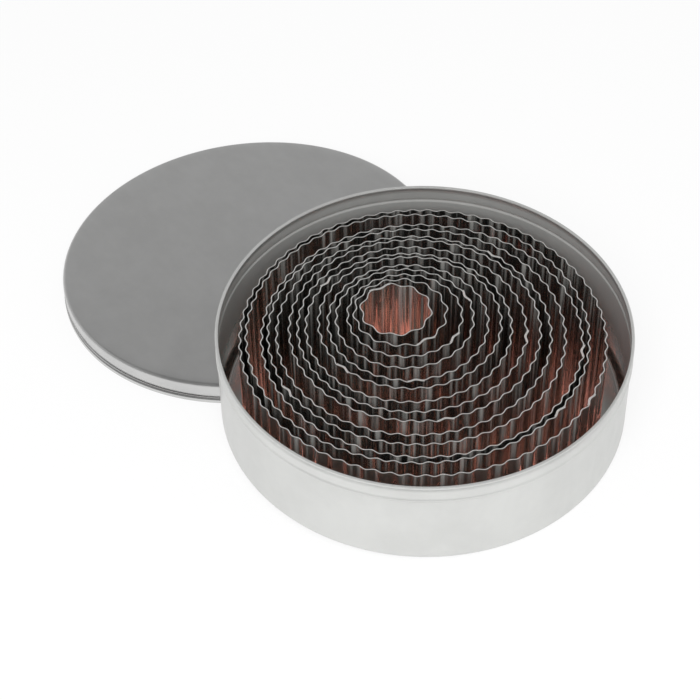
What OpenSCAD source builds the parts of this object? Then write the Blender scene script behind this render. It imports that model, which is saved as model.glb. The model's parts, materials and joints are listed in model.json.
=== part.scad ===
// Set of fourteen fluted biscuit cutters nested in a round tin that leans on its lid.
// Millimetres, +Z up. The lid lies on the table, +Y points from the tin to the lid, and the
// origin is on the table under the middle of the pair.

/* [Tin] */
// Diameter over the rolled rim
tin_diameter = 125; // [104:1:150]
// Height from the floor's underside to the top of the rim
tin_height = 32.6; // [27:0.2:40]
// Thickness of the tinplate of tin and lid
tin_sheet = 0.4; // [0.3:0.05:0.6]
// Thickness of the rolled rim
rim_curl = 1; // [0.8:0.1:1.4]
// How far the rim stands out from the wall
rim_overhang = 0.25; // [0.1:0.05:0.4]
// Radius round the foot of the wall
foot_radius = 2; // [1:0.25:3]
// Distance from the top of the rim down to the middle of the pressed bead
bead_drop = 5.8; // [4:0.2:8]
// Height of the pressed bead
bead_height = 1.8; // [1.2:0.2:3]

/* [Lid] */
// Outside height of the lid
lid_height = 7.5; // [6:0.25:10]
// Gap all round between the tin's rim and the lid's skirt
lid_clearance = 0.2; // [0.1:0.05:0.4]
// Gap all round between the tin's bead and the lid's skirt
bead_clearance = 0.1; // [0.05:0.05:0.2]
// Radius between the lid's top and its skirt
lid_edge_radius = 1.2; // [0.8:0.1:2]
// Thickness of the rolled hem
hem_thickness = 0.8; // [0.7:0.05:1.2]
// Height of the rolled hem
hem_height = 1.5; // [1.2:0.1:2.2]
// Width of the hem's flat underside
hem_flat = 0.4; // [0.3:0.05:0.6]

/* [Cutters] */
// Room between the cutters' tops and the top of the rim
headroom = 4.2; // [2:0.2:8]
// Thickness of the cutters' strip
strip = 0.35; // [0.3:0.05:0.45]
// Mean diameter of the smallest cutter
smallest_diameter = 21; // [17:0.5:26]
// Gap between the largest cutter's crests and the tin's wall when both are centred
wall_gap = 6.5; // [2:0.1:8]
// Depth of a flute from crest to root
flute_depth = 0.7; // [0.4:0.05:1]
// Width of a flute along the strip
flute_pitch = 4.92; // [4:0.02:6]
// Depth of a flute on the two smallest cutters
small_flute_depth = 1.05; // [0.6:0.05:1.4]
// Width of a flute on the two smallest cutters
small_flute_pitch = 6.4; // [5:0.1:8]
// Least gap kept between neighbouring cutters
nest_clearance = 0.25; // [0.15:0.05:0.4]

/* [Arrangement] */
// Distance between the centres of tin and lid
centre_distance = 90; // [76:1:108]
// Gap left between the leaning tin and the lid's edge
lean_gap = 0.02; // [0.01:0.01:0.1]

/* [Hidden] */
CUTTERS = 14;
$fn = 96;
arc_steps = 6;
bead_steps = 8;
flute_steps = 6;
slide_steps = 8;
small_cutters = 2;

// How the cutters lie, from cutter_14 to cutter_1: the share of its free room that each one has
// slid across (+X) and along (+Y of the tin), and the angle of its seam
lie = [[0, 0.1, 290], [-0.2, 0.95, 280], [0.1, -0.85, 310], [-0.2, 0.95, 170], [-0.25, 0.3, 10],
       [0.7, 0.6, 240], [-0.3, 0.3, 310], [-0.2, 0.45, 100], [0.7, 0.6, 180], [-0.25, 0.1, 230],
       [0.1, 0.85, 340], [0.35, 0.4, 280], [-0.1, 0.95, 250], [-0.25, 0.9, 60]];

rim_radius = tin_diameter / 2;
wall_radius = rim_radius - rim_overhang;
skirt_inside = rim_radius + lid_clearance;
skirt_radius = skirt_inside + tin_sheet;
hem_radius = skirt_inside + hem_thickness;
bead_depth = skirt_inside - bead_clearance - wall_radius;
cutter_height = tin_height - tin_sheet - headroom;
largest_radius = wall_radius - tin_sheet - wall_gap - (flute_depth + strip) / 2;
cutter_step = (largest_radius - smallest_diameter / 2) / (CUTTERS - 1);

// The tin's tilt: its foot stands on the table and its floor touches the lid's rounded edge
lean_reach = centre_distance - (skirt_radius - lid_edge_radius);
function lean_sine(c) =
    (lean_gap + lid_edge_radius * (1 - c) + lid_height * c - foot_radius * c * (1 - c))
    / ((wall_radius - foot_radius) * c + lean_reach);
function lean(angle, rounds) = rounds == 0 ? angle : lean(asin(lean_sine(cos(angle))), rounds - 1);
tilt = lean(5, 12);
floor_rise = (wall_radius - foot_radius) * sin(tilt) + foot_radius * (1 - cos(tilt));

// The pair is centred on the origin along Y
curl = rim_curl / 2;
tin_reach = (rim_radius - curl) * cos(tilt) + (tin_height - curl) * sin(tilt) + curl;
tin_y = (tin_reach - centre_distance - hem_radius) / 2;
lid_y = tin_y + centre_distance;

function arc(centre, radius, from, to) =
    [for (k = [0:arc_steps]) let (a = from + (to - from) * k / arc_steps)
        centre + radius * [cos(a), sin(a)]];
function reversed(list) = [for (k = [len(list) - 1:-1:0]) list[k]];

// The pressed bead is one wave of a raised cosine, on the wall's face at radius
function bead(radius) = [for (k = [0:bead_steps]) let (t = k / bead_steps)
    [radius + bead_depth * (1 - cos(360 * t)) / 2, tin_height - bead_drop + bead_height * (t - 0.5)]];

module tin_section() {
    foot = [wall_radius - foot_radius, foot_radius];
    inside = wall_radius - tin_sheet;
    polygon(concat([[0, 0]], arc(foot, foot_radius, -90, 0), bead(wall_radius),
        [[wall_radius, tin_height - curl], [inside, tin_height - curl]], reversed(bead(inside)),
        arc(foot, foot_radius - tin_sheet, 0, -90), [[0, tin_sheet]]));
    translate([rim_radius - curl, tin_height - curl]) circle(curl);
}

module lid_section() {
    edge = [skirt_radius - lid_edge_radius, lid_height - lid_edge_radius];
    r = (hem_thickness - hem_flat) / 2;
    polygon(concat([[0, lid_height]], arc(edge, lid_edge_radius, 90, 0), [[skirt_radius, hem_height]],
        arc([hem_radius - r, hem_height - r], r, 90, 0), arc([hem_radius - r, r], r, 0, -90),
        arc([skirt_inside + r, r], r, -90, -180),
        arc(edge, lid_edge_radius - tin_sheet, 0, 90), [[0, lid_height - tin_sheet]]));
}

// Sizes of cutter i, the angle of its seam, and the room it has inside the next one
function depth(i) = i > small_cutters ? flute_depth : small_flute_depth;
function pitch(i) = i > small_cutters ? flute_pitch : small_flute_pitch;
function mean_radius(i) = smallest_diameter / 2 + (i - 1) * cutter_step;
function flutes(i) = round(2 * PI * mean_radius(i) / pitch(i));
function seam(i) = lie[CUTTERS - i].z;
function room(i) = i == CUTTERS ? wall_gap
    : cutter_step - (depth(i) + depth(i + 1)) / 2 - strip - nest_clearance;

// A face of cutter i's strip, set out from the strip's middle, over the steps from first to
// last: each flute is one even wave
function wave(t) = cos(360 * t) / 2;
function turn_steps(i) = flutes(i) * flute_steps;
function face(i, out, first, last) = [for (k = [first:last]) let (t = k / flute_steps)
        (mean_radius(i) + depth(i) * wave(t) + out)
        * [cos(360 * t / flutes(i)), sin(360 * t / flutes(i))]];

// The strip's end laps over its start by one flute: there the outer face steps out by one thickness
function lap_face(i) = face(i, strip * 1.5, 0, flute_steps);

// Gap from the lap of cutter i, slid by shift, out to the inner face of the next cutter
function lap_gap(i, shift) = min([for (p = lap_face(i)) let (
    q = shift + [p.x * cos(seam(i)) - p.y * sin(seam(i)), p.x * sin(seam(i)) + p.y * cos(seam(i))],
    t = (atan2(q.y, q.x) - seam(i + 1)) * flutes(i + 1) / 360)
    mean_radius(i + 1) + depth(i + 1) * wave(t) - strip / 2 - norm(q)]);

// A cutter slides by its share of the room, or by less where its lap would come too near
function slide(i, part) = let (shift = part * room(i) * [lie[CUTTERS - i].x, lie[CUTTERS - i].y])
    i == CUTTERS || part <= 0 || lap_gap(i, shift) >= nest_clearance ? shift
    : slide(i, part - 1 / slide_steps);
function place(i) = i > CUTTERS ? [0, 0] : place(i + 1) + slide(i, 1);

// A closed fluted strip, one thickness deeper over its lap
module cutter_outline(i) {
    difference() {
        polygon(concat(lap_face(i), face(i, strip / 2, flute_steps, turn_steps(i))));
        polygon(face(i, -strip / 2, 0, turn_steps(i) - 1));
    }
}

module seated() {
    translate([0, tin_y, floor_rise]) rotate([tilt, 0, 0]) children();
}

module tin() {
    color("gainsboro") seated() rotate_extrude() tin_section();
}

module lid() {
    color("silver") translate([0, lid_y, 0]) rotate_extrude() lid_section();
}

module cutter(i) {
    color("dimgray") seated() translate([place(i).x, place(i).y, tin_sheet])
        rotate([0, 0, seam(i)]) linear_extrude(cutter_height) cutter_outline(i);
}

lid();
tin();
for (i = [1:CUTTERS]) cutter(i);
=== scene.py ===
# Fourteen fluted biscuit cutters nested in a round tin that leans on its lid.
# Every length is in metres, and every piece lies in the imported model's own frame.
import json
import math
import bpy
import numpy as np
from mathutils import Matrix, Vector


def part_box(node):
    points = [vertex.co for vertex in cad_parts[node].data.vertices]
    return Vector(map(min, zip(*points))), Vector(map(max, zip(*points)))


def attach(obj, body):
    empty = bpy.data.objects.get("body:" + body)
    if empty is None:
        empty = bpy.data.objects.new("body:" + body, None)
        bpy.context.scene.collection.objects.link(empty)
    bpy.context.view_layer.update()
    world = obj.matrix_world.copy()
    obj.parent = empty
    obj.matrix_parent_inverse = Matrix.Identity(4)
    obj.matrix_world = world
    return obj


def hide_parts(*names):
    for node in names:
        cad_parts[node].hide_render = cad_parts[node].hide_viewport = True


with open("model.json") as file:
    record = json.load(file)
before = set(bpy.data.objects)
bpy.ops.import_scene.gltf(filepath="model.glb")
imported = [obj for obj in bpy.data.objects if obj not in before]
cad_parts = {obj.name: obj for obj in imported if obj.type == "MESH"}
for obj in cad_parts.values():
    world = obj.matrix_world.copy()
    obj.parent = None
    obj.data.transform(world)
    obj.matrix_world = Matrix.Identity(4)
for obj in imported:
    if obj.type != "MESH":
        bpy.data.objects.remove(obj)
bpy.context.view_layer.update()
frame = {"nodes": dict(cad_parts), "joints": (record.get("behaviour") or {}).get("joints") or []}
print("frame loaded:", len(frame["nodes"]), "nodes")

mm = 0.001
trim = 0.02 * mm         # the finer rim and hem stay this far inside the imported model's flats
longestStep = 2.5 * mm   # along the profiles of tin and lid
turnSteps = 256          # round the tin and the lid

# The tin's tilt is that of the cutters' lift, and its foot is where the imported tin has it
liftAxis = next(j["axis"] for j in frame["joints"] if j["name"] == "cutter_1_lift")
tilt = math.atan2(-liftAxis[1], liftAxis[2])


def nodePoints(name):
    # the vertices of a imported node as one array
    data = frame["nodes"][name].data
    flat = np.empty(len(data.vertices) * 3, np.float32)
    data.vertices.foreach_get("co", flat)
    return flat.reshape(-1, 3).astype(float)


def turned(points, angle):
    # (x, y, z) -> (x, y cos a - z sin a, y sin a + z cos a)
    c, s = math.cos(angle), math.sin(angle)
    x, y, z = points[..., 0], points[..., 1], points[..., 2]
    return np.stack([x, y * c - z * s, y * s + z * c], -1)


flatTin = turned(nodePoints("tin"), -tilt)
tinLow, tinHigh = flatTin.min(0), flatTin.max(0)
tinFoot = np.array([(tinLow[0] + tinHigh[0]) / 2, (tinLow[1] + tinHigh[1]) / 2, tinLow[2]])
lidLow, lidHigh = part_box("lid")
lidFoot = np.array([(lidLow.x + lidHigh.x) / 2, (lidLow.y + lidHigh.y) / 2, 0.0])
print("tin leans by", round(math.degrees(tilt), 2), "degrees")


def seated(points):
    # from the tin's own frame, where its underside is at height 0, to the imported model's frame
    return turned(points + tinFoot, tilt)


def onTable(points):
    # from the lid's own frame to its place on the table
    return points + lidFoot


def arcPoints(centre, radius, start, end, steps):
    # centre + radius (cos a, sin a), with a from start to end in degrees
    a = np.radians(np.linspace(start, end, steps + 1))
    return np.stack([centre[0] + radius * np.cos(a), centre[1] + radius * np.sin(a)], 1)


def smoothStep(t):
    # 3 t^2 - 2 t^3, held at 0 and 1 outside the step
    t = np.clip(t, 0, 1)
    return t * t * (3 - 2 * t)


def makeMesh(name, points, faces, uv=None):
    # faces is an array of loops of 4; a loop whose last corner repeats its third is a triangle
    mesh = bpy.data.meshes.new(name)
    isTri = faces[:, 3] == faces[:, 2]
    counts = np.where(isTri, 3, 4)
    keep = np.ones(faces.shape, bool)
    keep[isTri, 3] = False
    loops = faces[keep]
    starts = np.concatenate([[0], np.cumsum(counts)[:-1]])
    mesh.vertices.add(len(points))
    mesh.vertices.foreach_set("co", np.ascontiguousarray(points, np.float32).ravel())
    mesh.loops.add(len(loops))
    mesh.loops.foreach_set("vertex_index", loops.astype(np.int32))
    mesh.polygons.add(len(faces))
    mesh.polygons.foreach_set("loop_start", starts.astype(np.int32))
    mesh.polygons.foreach_set("use_smooth", np.ones(len(faces), bool))
    if uv is not None:
        layer = mesh.uv_layers.new(name="strip")
        layer.data.foreach_set("uv", np.ascontiguousarray(uv[loops], np.float32).ravel())
    mesh.update(calc_edges=True)
    mesh.validate()
    obj = bpy.data.objects.new(name, mesh)
    bpy.context.scene.collection.objects.link(obj)
    return obj


def markPoints(piece, name, values):
    # one number for each vertex, which a material reads by its name
    layer = piece.data.attributes.new(name, "FLOAT", "POINT")
    layer.data.foreach_set("value", values.astype(np.float32))


# Tin and lid

tin = {
    "rimRadius": 62.5 * mm,
    "height": 32.6 * mm,
    "sheet": 0.4 * mm,
    "curl": 1.0 * mm,           # thickness of the rolled rim
    "overhang": 0.25 * mm,      # the rim stands out from the wall
    "footRadius": 2.0 * mm,
    "beadDrop": 5.8 * mm,       # from the top of the rim to the middle of the pressed bead
    "beadHeight": 1.8 * mm,
    "beadClearance": 0.1 * mm,  # left between the bead and the lid's skirt
    "dent": 0.025 * mm,         # waviness of the drawn wall
    "floorGap": 0.03 * mm,      # the cutters' lower edges just clear the floor
    "footSteps": 10,
    "beadSteps": 16,
    "rimSteps": 28,
}

lid = {
    "height": 7.5 * mm,
    "clearance": 0.2 * mm,      # between the tin's rim and the lid's skirt
    "edgeRadius": 1.2 * mm,
    "hemThickness": 0.8 * mm,
    "hemHeight": 1.5 * mm,
    "hemRound": 0.3 * mm,
    "hemStart": 80,             # degrees, where the hem's rounded top comes out of the crease
    "creaseDepth": 0.24 * mm,   # between skirt and hem
    "creaseHeight": 0.75 * mm,
    "dent": 0.03 * mm,
    "edgeSteps": 10,
    "hemSteps": 8,
}

# Waves of the dents: how many go round, their height against the first one, and their start
dentWaves = [(3, 1.0, 0.4), (5, 0.7, 2.1), (11, 0.4, 4.0)]
unwornUpTo = 0.15               # share of the tin's height inside which nothing has rubbed
unwornFade = 0.4                # share of the height over which wear sets in above that


def revolve(name, profile, place, dent):
    # the profile (r, z) runs from the axis to the axis and is turned about z:
    # (r cos a, r sin a, z), with the wall's middle pressed in, never out, by a few low waves of a
    a = np.linspace(0, 2 * np.pi, turnSteps, endpoint=False)
    ring = profile[1:-1]
    r, z = ring[:, 0][:, None], ring[:, 1][:, None]
    reach, top = profile[:, 0].max(), profile[:, 1].max()
    waves = sum(height * np.sin(count * a + start) for count, height, start in dentWaves)
    press = dent * (waves - waves.max())
    radius = r + press * smoothStep(r / reach) * np.sin(np.pi * np.clip(z / top, 0, 1))
    points = np.stack([radius * np.cos(a), radius * np.sin(a), z + 0 * a], -1)
    poles = np.array([[0, 0, profile[0, 1]], [0, 0, profile[-1, 1]]])
    # rings of quads, and a fan of triangles round each pole
    rows = len(ring)
    j = np.arange(turnSteps)
    k = (j + 1) % turnSteps
    i = turnSteps * np.arange(rows - 1)[:, None]
    quads = np.stack([i + j, i + k, i + turnSteps + k, i + turnSteps + j], -1).reshape(-1, 4)
    lastRing = (rows - 1) * turnSteps
    firstPole = np.full(turnSteps, rows * turnSteps)
    firstFan = np.stack([firstPole, k, j, j], -1)
    lastFan = np.stack([firstPole + 1, lastRing + j, lastRing + k, lastRing + k], -1)
    piece = makeMesh(name, np.concatenate([place(points.reshape(-1, 3)), place(poles)]),
                     np.concatenate([quads, firstFan, lastFan]))
    # unworn is 1 on the floor and low wall inside and fades to 0 up the wall: past the highest
    # point of the profile, 1 - step((z / height - up to) / fade)
    inner = np.arange(len(profile)) > np.argmax(profile[:, 1])
    unworn = inner * (1 - smoothStep((profile[:, 1] / top - unwornUpTo) / unwornFade))
    markPoints(piece, "unworn", np.concatenate([np.repeat(unworn[1:-1], turnSteps), unworn[[0, -1]]]))
    return piece


def joined(parts):
    # the parts of a profile in one array, with points added so that no step is longer than longestStep
    profile = np.concatenate([np.asarray(p, float) for p in parts])
    out = [profile[:1]]
    for a, b in zip(profile[:-1], profile[1:]):
        n = max(1, int(math.ceil(np.linalg.norm(b - a) / longestStep)))
        out.append(a + (b - a) * (np.arange(1, n + 1) / n)[:, None])
    return np.concatenate(out)


# Derived sizes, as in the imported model
wallRadius = tin["rimRadius"] - tin["overhang"]
skirtInside = tin["rimRadius"] + lid["clearance"]
skirtRadius = skirtInside + tin["sheet"]
hemRadius = skirtInside + lid["hemThickness"] - trim
beadDepth = skirtInside - tin["beadClearance"] - wallRadius


def tinProfile():
    # floor, foot arc, wall with a raised cosine bead, rolled rim, and the same inside
    foot = (wallRadius - tin["footRadius"], tin["footRadius"])
    inside = wallRadius - tin["sheet"]
    t = np.linspace(0, 1, tin["beadSteps"] + 1)
    wave = beadDepth * (1 - np.cos(2 * np.pi * t)) / 2
    beadZ = tin["height"] - tin["beadDrop"] + tin["beadHeight"] * (t - 0.5)
    half = tin["curl"] / 2
    rim = (tin["rimRadius"] - half - trim, tin["height"] - half - trim)
    start = math.degrees(math.acos((wallRadius - rim[0]) / half))
    end = math.degrees(math.acos((inside - rim[0]) / half))
    return joined([
        [(0, 0)],
        arcPoints(foot, tin["footRadius"], -90, 0, tin["footSteps"]),
        np.stack([wallRadius + wave, beadZ], 1),
        arcPoints(rim, half, -start, 360 - end, tin["rimSteps"]),
        np.stack([inside + wave, beadZ], 1)[::-1],
        arcPoints(foot, tin["footRadius"] - tin["sheet"], 0, -90, tin["footSteps"]),
        [(0, tin["sheet"])],
    ])


def lidProfile():
    # top, edge arc, skirt, half a sine as the crease, hem with rounded ends, and the skirt's inside
    edge = (skirtRadius - lid["edgeRadius"], lid["height"] - lid["edgeRadius"])
    r = lid["hemRound"]
    top = lid["hemHeight"]
    steps = lid["hemSteps"]
    t = np.linspace(0, 1, steps + 1)
    crease = skirtRadius - lid["creaseDepth"] * np.sin(np.pi * t)
    creaseZ = top + lid["creaseHeight"] * (1 - t)
    return joined([
        [(0, lid["height"])],
        arcPoints(edge, lid["edgeRadius"], 90, 0, lid["edgeSteps"]),
        np.stack([crease, creaseZ], 1),
        arcPoints((hemRadius - r, top - r), r, lid["hemStart"], 0, steps),
        arcPoints((hemRadius - r, r), r, 0, -90, steps),
        arcPoints((skirtInside + r, r), r, -90, -180, steps),
        arcPoints(edge, lid["edgeRadius"] - tin["sheet"], 0, 90, lid["edgeSteps"]),
        [(0, lid["height"] - tin["sheet"])],
    ])


# Cutters

cutter = {
    "count": 14,
    "headroom": 4.2 * mm,       # from the cutters' tops to the top of the rim
    "strip": 0.35 * mm,         # thickness
    "smallestRadius": 10.5 * mm,
    "wallGap": 6.5 * mm,
    "depth": 0.7 * mm,          # of a flute, from crest to root
    "pitch": 4.92 * mm,         # width of a flute along the strip
    "smallDepth": 1.05 * mm,    # the same two sizes on the smallest cutters
    "smallPitch": 6.4 * mm,
    "smallCount": 2,
    "nestClearance": 0.25 * mm,
    "burr": 0.05 * mm,          # the sheared edge's rounding
    "stepsPerFlute": 16,
    "lap": 1.0,                 # flutes by which the strip's end lies over its start
    "climb": 1.02,              # thicknesses that the end rises, a little over one
    "climbFlutes": 0.8,         # flutes over which it rises
    "outerFrom": 0.5,           # flutes before the lap from which on the strip counts as its outer layer
    "welds": (0.2, 0.5, 0.8),   # heights of the spot welds, as shares of the cutter's height
    "weldRows": (-0.03, -0.018, 0, 0.018, 0.03),  # rows of points round each weld, as such shares
    "weldRadius": 0.9 * mm,
    "weldDepth": 0.07 * mm,
    "endRow": 0.06,             # the last row of points before each edge's rounding, as a share
}

# How the cutters lie, from the largest: share of the free room slid across and along, seam angle
lie = [(0, 0.1, 290), (-0.2, 0.95, 280), (0.1, -0.85, 310), (-0.2, 0.95, 170), (-0.25, 0.3, 10),
       (0.7, 0.6, 240), (-0.3, 0.3, 310), (-0.2, 0.45, 100), (0.7, 0.6, 180), (-0.25, 0.1, 230),
       (0.1, 0.85, 340), (0.35, 0.4, 280), (-0.1, 0.95, 250), (-0.25, 0.9, 60)]

cutterHeight = tin["height"] - tin["sheet"] - cutter["headroom"]
largestRadius = wallRadius - tin["sheet"] - cutter["wallGap"] - (cutter["depth"] + cutter["strip"]) / 2
cutterStep = (largestRadius - cutter["smallestRadius"]) / (cutter["count"] - 1)


def cutterDepth(i):
    # the flutes of the smallest cutters are deeper
    return cutter["depth"] if i > cutter["smallCount"] else cutter["smallDepth"]


def cutterPitch(i):
    # and they are wider
    return cutter["pitch"] if i > cutter["smallCount"] else cutter["smallPitch"]


def meanRadius(i):
    # smallest radius + (i - 1) step
    return cutter["smallestRadius"] + (i - 1) * cutterStep


def fluteCount(i):
    # 2 pi radius / pitch, as the nearest whole number
    return round(2 * math.pi * meanRadius(i) / cutterPitch(i))


def freeRoom(i):
    # how far cutter i can slide inside the next larger one: step - mean of the two depths
    # - strip - clearance
    if i == cutter["count"]:
        return cutter["wallGap"]
    depths = (cutterDepth(i) + cutterDepth(i + 1)) / 2
    return cutterStep - depths - cutter["strip"] - cutter["nestClearance"]


def cutterPlaces():
    # each cutter's centre is the next larger one's, moved by its share of the free room
    places = {}
    centre = np.zeros(2)
    for i, row in zip(range(cutter["count"], 0, -1), lie):
        centre = centre + freeRoom(i) * np.array(row[:2])
        places[i] = (centre, row[2])
    return places


def fluteWave(t):
    # cos(2 pi t) / 2, one even wave from crest to crest
    return np.cos(2 * np.pi * t) / 2


def weldDimples(t, z, flutes, pitch):
    # depth exp(-d^2 / (2 s^2)), with d the distance to the nearest weld, which lies half way along
    # the lap, once on the strip's end and once on its start
    lap = cutter["lap"]
    along = np.minimum(np.abs(t - (flutes + lap / 2)), np.abs(t - lap / 2)) * pitch
    up = np.min(np.abs(z[:, None] - cutterHeight * np.array(cutter["welds"])[None, :]), axis=1)
    spread = cutter["weldRadius"] / 2
    return cutter["weldDepth"] * np.exp(-(along[:, None] ** 2 + up[None, :] ** 2) / (2 * spread ** 2))


def makeCutter(i, centre, seam):
    # a strip with an outer, upper, inner and lower face along a fluted path: angle = 2 pi t / flutes,
    # radius = mean radius + depth wave(t) + the face's offset, and over the first flute the strip's
    # end lies one thickness further out
    flutes, pitch = fluteCount(i), cutterPitch(i)
    n = int((flutes + cutter["lap"]) * cutter["stepsPerFlute"])
    t = np.linspace(0, flutes + cutter["lap"], n + 1)
    rise = smoothStep((t - (flutes - cutter["climbFlutes"])) / cutter["climbFlutes"])
    path = (meanRadius(i) + cutterDepth(i) * fluteWave(t)
            + cutter["strip"] * cutter["climb"] * rise)
    angle = 2 * np.pi * t / flutes + math.radians(seam)
    # the strip's section: up its outer face, over the rounded top, down inside and under
    h, b, half = cutterHeight, cutter["burr"], cutter["strip"] / 2
    nearWelds = (np.array(cutter["welds"])[:, None] + np.array(cutter["weldRows"])).ravel()
    rows = np.concatenate([[b, 3 * b, cutter["endRow"] * h], h * nearWelds,
                           [(1 - cutter["endRow"]) * h, h - 3 * b, h - b]])
    side = np.full(len(rows), half)
    out = np.concatenate([side, [half - b, -half + b], -side, [-half + b, half - b]])
    z = np.concatenate([rows, [h, h], rows[::-1], [0, 0]])
    # the welds sink into the outside of the outer layer and bulge the inside of the inner one
    dimple = weldDimples(t, z, flutes, pitch)
    outerLayer = (t > flutes - cutter["outerFrom"])[:, None]
    outerFace = (out > 0)[None, :]
    sink = np.where(outerLayer & outerFace, -dimple, 0.0) + np.where(~outerLayer & ~outerFace, dimple, 0.0)
    radius = path[:, None] + out[None, :] + sink
    foot = tin["sheet"] + tin["floorGap"]
    points = np.stack([centre[0] + radius * np.cos(angle)[:, None],
                       centre[1] + radius * np.sin(angle)[:, None],
                       foot + z[None, :] * (1 - tin["floorGap"] / h) + 0 * radius], -1)
    across = len(z)
    ii = across * np.arange(n)[:, None]
    jj = np.arange(across)
    kk = (jj + 1) % across
    quads = np.stack([ii + jj, ii + across + jj, ii + across + kk, ii + kk], -1).reshape(-1, 4)
    # each end of the strip is closed by quads between its outer and its inner corners, bottom to top
    mid = len(rows)
    outerSide = np.concatenate([[2 * mid + 3], np.arange(mid + 1)])
    innerSide = np.arange(2 * mid + 2, mid, -1)
    startCap = np.stack([outerSide[:-1], outerSide[1:], innerSide[1:], innerSide[:-1]], -1)
    endCap = startCap[:, ::-1] + n * across
    # the map gives the distance along the strip and the height, both in metres
    uv = np.stack([np.repeat(t * pitch, across), np.tile(z, n + 1)], 1)
    piece = makeMesh("cutter_%d_strip" % i, seated(points.reshape(-1, 3)),
                     np.concatenate([quads, startCap, endCap]), uv)
    # cutEdge is 1 on the sheared upper and lower edges
    markPoints(piece, "cutEdge", np.tile((z <= 0) | (z >= h), n + 1))
    return piece


# Materials

def newMaterial(name):
    # a material with one Principled shader
    material = bpy.data.materials.new(name)
    material.use_nodes = True
    nodes = material.node_tree.nodes
    nodes.clear()
    out = nodes.new("ShaderNodeOutputMaterial")
    shader = nodes.new("ShaderNodeBsdfPrincipled")
    material.node_tree.links.new(shader.outputs["BSDF"], out.inputs["Surface"])
    return material, shader


def addNode(owner, kind, inputs=None, **settings):
    # a node of a material or of the world, with each input linked to an output or set to a value
    node = owner.node_tree.nodes.new(kind)
    for key, value in settings.items():
        setattr(node, key, value)
    for key, value in (inputs or {}).items():
        if isinstance(value, bpy.types.NodeSocket):
            owner.node_tree.links.new(value, node.inputs[key])
        else:
            node.inputs[key].default_value = value
    return node


def feed(material, shader, sources):
    # links outputs to the shader's inputs by name
    for name, source in sources.items():
        material.node_tree.links.new(source, shader.inputs[name])


def calculate(owner, operation, *terms):
    # one step of arithmetic
    return addNode(owner, "ShaderNodeMath", dict(enumerate(terms)), operation=operation).outputs["Value"]


def dotProduct(owner, a, b):
    # ax bx + ay by + az bz
    node = addNode(owner, "ShaderNodeVectorMath", {0: a, 1: b}, operation="DOT_PRODUCT")
    return node.outputs["Value"]


def ranged(owner, value, source, target=(0.0, 1.0), smooth=False):
    # the value, held between the two ends of source and stretched to those of target
    node = addNode(owner, "ShaderNodeMapRange",
                   {"Value": value, "From Min": source[0], "From Max": source[1],
                    "To Min": target[0], "To Max": target[1]},
                   interpolation_type="SMOOTHSTEP" if smooth else "LINEAR")
    return node.outputs["Result"]


def blended(owner, factor, a, b, kind="RGBA"):
    # a + (b - a) factor, of two colours or two numbers
    node = addNode(owner, "ShaderNodeMix", {"Factor": factor, "A": a, "B": b}, data_type=kind)
    return node.outputs["Result"]


def noise(owner, vector, scale, detail, roughness=0.5):
    # noise at scale times the vector; three scales stretch it along the axes
    if isinstance(scale, tuple):
        vector = addNode(owner, "ShaderNodeMapping", {"Vector": vector, "Scale": scale}).outputs["Vector"]
        scale = 1.0
    node = addNode(owner, "ShaderNodeTexNoise", {"Vector": vector, "Scale": scale, "Detail": detail,
                                                 "Roughness": roughness})
    return node.outputs["Fac"]


def attribute(owner, name):
    # the number that a mesh holds at each of its points
    return addNode(owner, "ShaderNodeAttribute", attribute_name=name).outputs["Fac"]


def bumped(owner, height, strength, distance):
    # the normal, tilted by the slope of the height
    node = addNode(owner, "ShaderNodeBump", {"Height": height, "Strength": strength, "Distance": distance})
    return node.outputs["Normal"]


def darker(colour, share):
    # the colour times the share
    return tuple(c * share for c in colour[:3]) + (1,)


lidSheet = {
    "colour": (0.62, 0.62, 0.615, 1),
    "roughness": (0.30, 0.42),
    "metal": 0.95,               # the rest scatters, as the dull tin coating does
    "cloudScale": 55.0,
    "bumpDepth": 0.03 * mm,
}

tinSheet = {
    "colour": (0.655, 0.66, 0.645, 1),
    "roughness": (0.34, 0.46),
    "metal": 0.57,
    "cloudScale": 40.0,
    "bumpDepth": 0.02 * mm,
}

sheet = {
    "unwornRoughness": 0.3,      # share of the roughness left where nothing has rubbed the tin
    "unwornMetal": 0.98,
    "cloudDark": 0.92,           # how dark the darkest clouds are against the lightest
    "cloudRange": (0.35, 0.6),
    "cloudDetail": 6.0,
    "cloudRoughness": 0.6,
    "scratchScale": (420, 130, 130),
    "scratchDetail": 3.0,
    "wearRange": (0.12, 0.42),
    "bumpStrength": 0.25,
}


def sheetMaterial(name, own):
    # rolled tinplate: cloudy mottling, fine scratches, and a rubbed surface that clouds times
    # scratches make duller and rougher
    material, shader = newMaterial(name)
    coords = addNode(material, "ShaderNodeTexCoord").outputs["Object"]
    cloud = noise(material, coords, own["cloudScale"], sheet["cloudDetail"], sheet["cloudRoughness"])
    scratch = noise(material, coords, sheet["scratchScale"], sheet["scratchDetail"])
    wear = calculate(material, "MULTIPLY", cloud, scratch)
    unworn = attribute(material, "unworn")
    rough = ranged(material, wear, sheet["wearRange"], own["roughness"])
    rubbed = ranged(material, unworn, (0, 1), (1.0, sheet["unwornRoughness"]))
    feed(material, shader, {
        "Base Color": blended(material, ranged(material, cloud, sheet["cloudRange"]),
                              darker(own["colour"], sheet["cloudDark"]), own["colour"]),
        "Roughness": calculate(material, "MULTIPLY", rough, rubbed),
        "Metallic": ranged(material, unworn, (0, 1), (own["metal"], sheet["unwornMetal"])),
        "Normal": bumped(material, wear, sheet["bumpStrength"], own["bumpDepth"]),
    })
    return material


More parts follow.
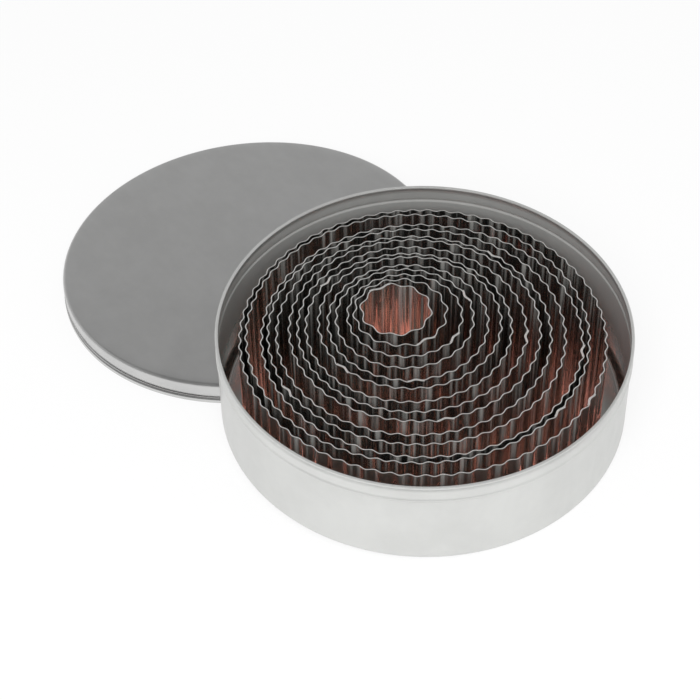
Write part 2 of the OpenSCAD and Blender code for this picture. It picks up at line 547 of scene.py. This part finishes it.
strip = {
    "colour": (0.69, 0.69, 0.66, 1),
    "dark": 0.94,                # on the marks of the fluting rolls
    "roughness": (0.015, 0.035),
    "metal": 0.99,
    "streakMetal": 0.64,         # on the dullest lines that the fluting rolls left
    "streakRange": (0.46, 0.72),
    "edgeColour": (0.93, 0.92, 0.90, 1),
    "edgeMetal": 0.8,
    "edgeRoughness": 0.3,
    "rollScale": (620, 9, 1),    # the marks run up the wall
    "rollDetail": 2.5,
    "grainScale": (60, 2500, 1),  # the rolling grain runs along it
    "grainDetail": 3.0,
    "grainRange": (0.3, 0.7),
    "bumpStrength": 0.1,
    "bumpDepth": 0.01 * mm,
}


def stripMaterial():
    # cold rolled strip: a near mirror with dull streaks up the wall, and bright sheared edges
    material, shader = newMaterial("cutterStrip")
    coords = addNode(material, "ShaderNodeUVMap", uv_map="strip").outputs["UV"]
    rollMarks = noise(material, coords, strip["rollScale"], strip["rollDetail"])
    grain = noise(material, coords, strip["grainScale"], strip["grainDetail"])
    cutEdge = attribute(material, "cutEdge")
    wall = blended(material, rollMarks, darker(strip["colour"], strip["dark"]), strip["colour"])
    rough = ranged(material, grain, strip["grainRange"], strip["roughness"])
    streaks = ranged(material, rollMarks, strip["streakRange"], (strip["metal"], strip["streakMetal"]),
                     smooth=True)
    feed(material, shader, {
        "Base Color": blended(material, cutEdge, wall, strip["edgeColour"]),
        "Roughness": ranged(material, cutEdge, (0, 1), (rough, strip["edgeRoughness"])),
        "Metallic": ranged(material, cutEdge, (0, 1), (streaks, strip["edgeMetal"])),
        "Normal": bumped(material, rollMarks, strip["bumpStrength"], strip["bumpDepth"]),
    })
    return material


def dress(piece, node, material):
    # gives the piece its material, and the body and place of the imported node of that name
    piece.data.materials.clear()
    piece.data.materials.append(material)
    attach(piece, node)
    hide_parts(node)


lidFinish = sheetMaterial("lidTinplate", lidSheet)
tinFinish = sheetMaterial("tinTinplate", tinSheet)
stripFinish = stripMaterial()
print("materials made")

dress(revolve("lid_shell", lidProfile(), onTable, lid["dent"]), "lid", lidFinish)
dress(revolve("tin_shell", tinProfile(), seated, tin["dent"]), "tin", tinFinish)
print("tin and lid made")

for i, (centre, seam) in sorted(cutterPlaces().items()):
    dress(makeCutter(i, centre, seam), "cutter_%d" % i, stripFinish)
print("cutters made")

# Camera, floor and light

photo = {
    "azimuth": -35.08,       # degrees, 0 looks along +Y
    "elevation": 42.8,
    "roll": -5.01,
    "distance": 0.6556,
    "focalPixels": 2033.14,  # for a picture 700 pixels wide
    "picturePixels": 700,
    "sensorWidth": 36.0,     # millimetres
    "nearest": 0.01,
    "target": (0.43 * mm, -6.94 * mm, 0.0),
}

stage = {
    "floorSize": 6.0,
    "floorColour": (0.93, 0.93, 0.93, 1),
    "floorRoughness": 0.9,
    "floorGlow": 0.8,
    "lampPower": 20.0,
    "lampSize": 0.9,
    "lampPlace": (-0.68, -0.78, 1.1),
    "fill": (0.50, 0.50, 0.50, 1),  # even light on the dull share of every surface
    "skyBack": 0.60,
    "skyTop": 0.20,
    "skyFront": 0.26,
    "frontRange": (-0.1, 0.35),  # how far towards the camera the back turns into the front
    "topRange": (0.55, 0.8),     # height from which on the top takes over
    "deepFrom": 2.5,             # reflections after which a ray sees the dim room
    "roomCool": (0.16, 0.175, 0.155, 1),
    "roomRed": (0.36, 0.075, 0.075, 1),
    "patchScale": 3.2,           # how fine the cool and red patches of the room are
    "patchDetail": 1.0,
    "patchRange": (0.45, 0.55),
    "redLeft": 0.35,             # how far the red patches gather on the camera's left
    "card": (2.5, 0.84, 0.66, 1),
    "cardReach": (21.0, 34.0),   # degrees from the card's middle, where it is full and where it ends
    "bounces": 28,               # light goes down the gaps between the cutters by many reflections
}


def cameraAxes():
    # forward, right and up of the camera, rolled about forward
    az, el, roll = (math.radians(photo[k]) for k in ("azimuth", "elevation", "roll"))
    flat = Vector((-math.sin(az), math.cos(az), 0))
    forward = flat * math.cos(el) + Vector((0, 0, -math.sin(el)))
    level = Vector((flat.y, -flat.x, 0))
    upright = level.cross(forward)
    right = level * math.cos(roll) + upright * math.sin(roll)
    up = upright * math.cos(roll) - level * math.sin(roll)
    return forward, right, up


forward, right, up = cameraAxes()


def makeCamera():
    # stands at target - distance forward, with its lens worked out from the focal length in pixels
    data = bpy.data.cameras.new("camera")
    data.sensor_width = photo["sensorWidth"]
    data.lens = data.sensor_width * photo["focalPixels"] / photo["picturePixels"]
    data.clip_start = photo["nearest"]
    camera = bpy.data.objects.new("camera", data)
    place = Vector(photo["target"]) - forward * photo["distance"]
    camera.matrix_world = Matrix.Translation(place) @ Matrix((right, up, -forward)).transposed().to_4x4()
    bpy.context.scene.collection.objects.link(camera)
    bpy.context.scene.camera = camera


def makeFloor():
    # a plain white floor that glows enough to clip to white where no shadow falls
    s = stage["floorSize"] / 2
    points = np.array([[-s, -s, 0], [s, -s, 0], [s, s, 0], [-s, s, 0]], float)
    floor = makeMesh("floor", points, np.array([[0, 1, 2, 3]]))
    material, shader = newMaterial("whiteFloor")
    shader.inputs["Base Color"].default_value = stage["floorColour"]
    shader.inputs["Roughness"].default_value = stage["floorRoughness"]
    rays = addNode(material, "ShaderNodeLightPath").outputs
    seen = calculate(material, "MAXIMUM", rays["Is Camera Ray"], rays["Is Glossy Ray"])
    seen = calculate(material, "MAXIMUM", seen, rays["Is Transmission Ray"])
    share = calculate(material, "MULTIPLY", seen, stage["floorGlow"])
    glow = addNode(material, "ShaderNodeEmission", {"Color": (1, 1, 1, 1), "Strength": 1.0})
    mix = addNode(material, "ShaderNodeMixShader", {0: share, 1: shader.outputs["BSDF"],
                                                    2: glow.outputs["Emission"]})
    out = next(n for n in material.node_tree.nodes if n.type == "OUTPUT_MATERIAL")
    material.node_tree.links.new(mix.outputs["Shader"], out.inputs["Surface"])
    floor.data.materials.append(material)


def makeWorld():
    # the camera sees white and dull surfaces get the even fill. The metal mirrors a grey studio,
    # skyBack behind the object, skyFront on the camera's side and skyTop overhead
    world = bpy.data.worlds.new("studio")
    bpy.context.scene.world = world
    world.use_nodes = True
    world.node_tree.nodes.clear()
    direction = addNode(world, "ShaderNodeTexCoord").outputs["Generated"]
    rays = addNode(world, "ShaderNodeLightPath").outputs
    facing = dotProduct(world, direction, (-forward.x, -forward.y, 0))
    level = ranged(world, facing, stage["frontRange"], (stage["skyBack"], stage["skyFront"]), smooth=True)
    height = addNode(world, "ShaderNodeSeparateXYZ", {"Vector": direction}).outputs["Z"]
    overhead = ranged(world, height, stage["topRange"], smooth=True)
    studio = blended(world, overhead, level, stage["skyTop"], "FLOAT")
    # light that has met the metal at least three times, as it does inside the cutters, shows a dim
    # room instead, with red patches gathered on the camera's left and one warm card
    patches = noise(world, direction, stage["patchScale"], stage["patchDetail"])
    aside = dotProduct(world, direction, tuple(right))
    leaning = calculate(world, "MULTIPLY_ADD", aside, -stage["redLeft"], patches)
    redShare = ranged(world, leaning, stage["patchRange"], smooth=True)
    room = blended(world, redShare, stage["roomCool"], stage["roomRed"])
    # the view into the smallest cutter meets wall, floor and wall, so it leaves the tin along the
    # camera's direction with its part along the tin's axis turned round: the card is there
    axis = Vector(liftAxis)
    leaving = forward - 2 * forward.dot(axis) * axis
    full, ended = (math.cos(math.radians(a)) for a in stage["cardReach"])
    cardShare = ranged(world, dotProduct(world, direction, tuple(leaving)), (ended, full), smooth=True)
    room = blended(world, cardShare, room, stage["card"])
    deep = calculate(world, "GREATER_THAN", rays["Glossy Depth"], stage["deepFrom"])
    mirrored = blended(world, deep, studio, room)
    lit = blended(world, rays["Is Glossy Ray"], stage["fill"], mirrored)
    seen = blended(world, rays["Is Camera Ray"], lit, (1, 1, 1, 1))
    back = addNode(world, "ShaderNodeBackground", {"Color": seen, "Strength": 1.0})
    addNode(world, "ShaderNodeOutputWorld", {"Surface": back.outputs["Background"]})


def makeLamp():
    # one large soft lamp high on the camera's side, which lights the dull share of the metal;
    # what the metal mirrors is the studio alone
    data = bpy.data.lights.new("softbox", "AREA")
    data.size = stage["lampSize"]
    data.energy = stage["lampPower"]
    lamp = bpy.data.objects.new("softbox", data)
    lamp.visible_glossy = False
    lamp.location = stage["lampPlace"]
    lamp.rotation_euler = (-Vector(stage["lampPlace"])).to_track_quat("-Z", "Y").to_euler()
    bpy.context.scene.collection.objects.link(lamp)


makeCamera()
makeFloor()
makeWorld()
makeLamp()
bpy.context.scene.view_settings.view_transform = "Standard"
bpy.context.scene.cycles.max_bounces = stage["bounces"]
bpy.context.scene.cycles.glossy_bounces = stage["bounces"]
print("stage made")
